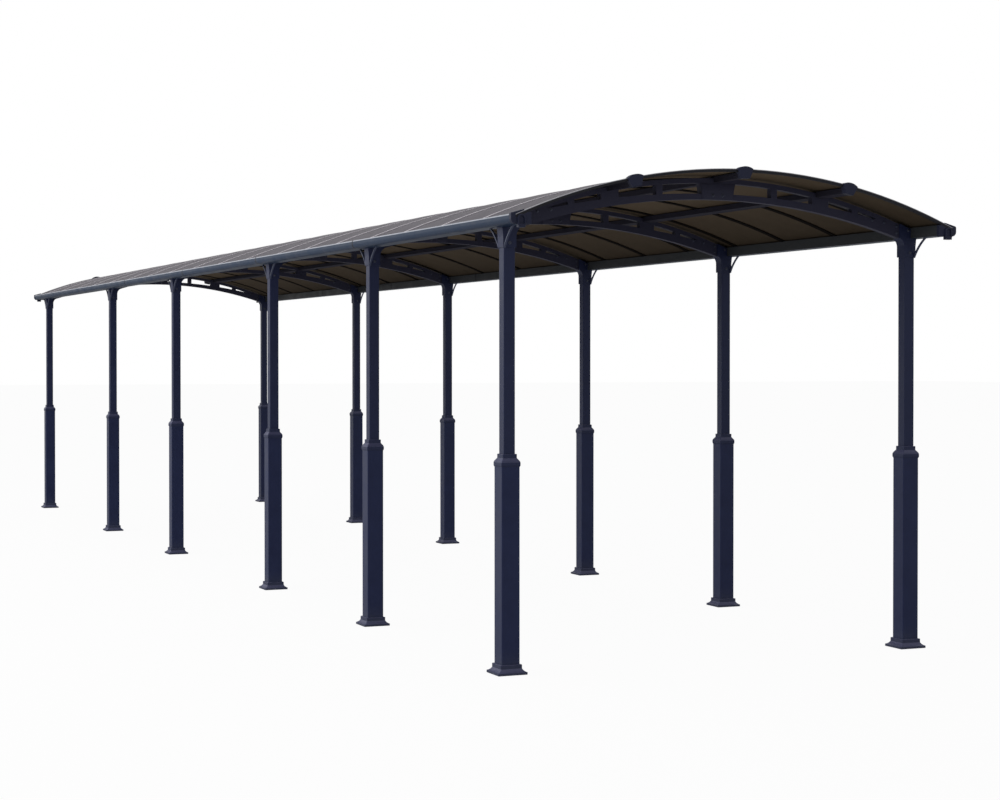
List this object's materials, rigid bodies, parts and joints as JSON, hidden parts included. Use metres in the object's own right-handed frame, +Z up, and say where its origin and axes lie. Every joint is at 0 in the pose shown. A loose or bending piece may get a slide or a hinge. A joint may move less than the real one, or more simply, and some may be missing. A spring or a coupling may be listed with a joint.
{
  "type": "arched open-frame carport",
  "caption": "Long open carport: slim posts in two rows carry arched trusses, gutter beams, purlins and a vaulted roof of tinted sheets.",
  "frame": {"origin": "middle of the plan at ground level, under the feet", "axes": "+X across to the right row of posts, +Y along from the front end to the back, +Z up"},
  "size_m": [2.568, 12.868, 2.5285],
  "materials": {
    "frame_paint": "satin dark blue-grey powder coat",
    "gutter_paint": "satin blue-grey powder coat",
    "moulded_cap": "moulded plastic in the frame's colour",
    "edge_trim": "dark satin trim",
    "glazing_bar": "pale grey on top, dark below",
    "tinted_sheet": "bronze-tinted translucent sheet"
  },
  "bodies": {
    "root": {"back_edge_trim": "edge_trim", "front_edge_trim": "edge_trim", "front_roof_panel": "tinted_sheet", "glazing_bars": "glazing_bar", "left_collars": "moulded_cap", "left_feet": "moulded_cap", "left_gutter": "gutter_paint", "left_gutter_end_caps": "moulded_cap", "left_head_brackets": "frame_paint", "left_knee_braces": "frame_paint", "left_post_1": "frame_paint", "left_post_2": "frame_paint", "left_post_3": "frame_paint", "left_post_4": "frame_paint", "left_post_5": "frame_paint", "left_post_6": "frame_paint", "left_purlin": "frame_paint", "left_sleeves": "frame_paint", "purlin_end_caps": "moulded_cap", "ridge_purlin": "frame_paint", "right_collars": "moulded_cap", "right_feet": "moulded_cap", "right_gutter": "gutter_paint", "right_gutter_end_caps": "moulded_cap", "right_head_brackets": "frame_paint", "right_knee_braces": "frame_paint", "right_post_1": "frame_paint", "right_post_2": "frame_paint", "right_post_3": "frame_paint", "right_post_4": "frame_paint", "right_post_5": "frame_paint", "right_post_6": "frame_paint", "right_purlin": "frame_paint", "right_sleeves": "frame_paint", "roof_panels_1": "tinted_sheet", "roof_panels_2": "tinted_sheet", "roof_panels_3": "tinted_sheet", "roof_panels_4": "tinted_sheet", "roof_panels_5": "tinted_sheet", "truss_1": "frame_paint", "truss_2": "frame_paint", "truss_3": "frame_paint", "truss_4": "frame_paint", "truss_5": "frame_paint", "truss_6": "frame_paint"}
  },
  "joints": []
}
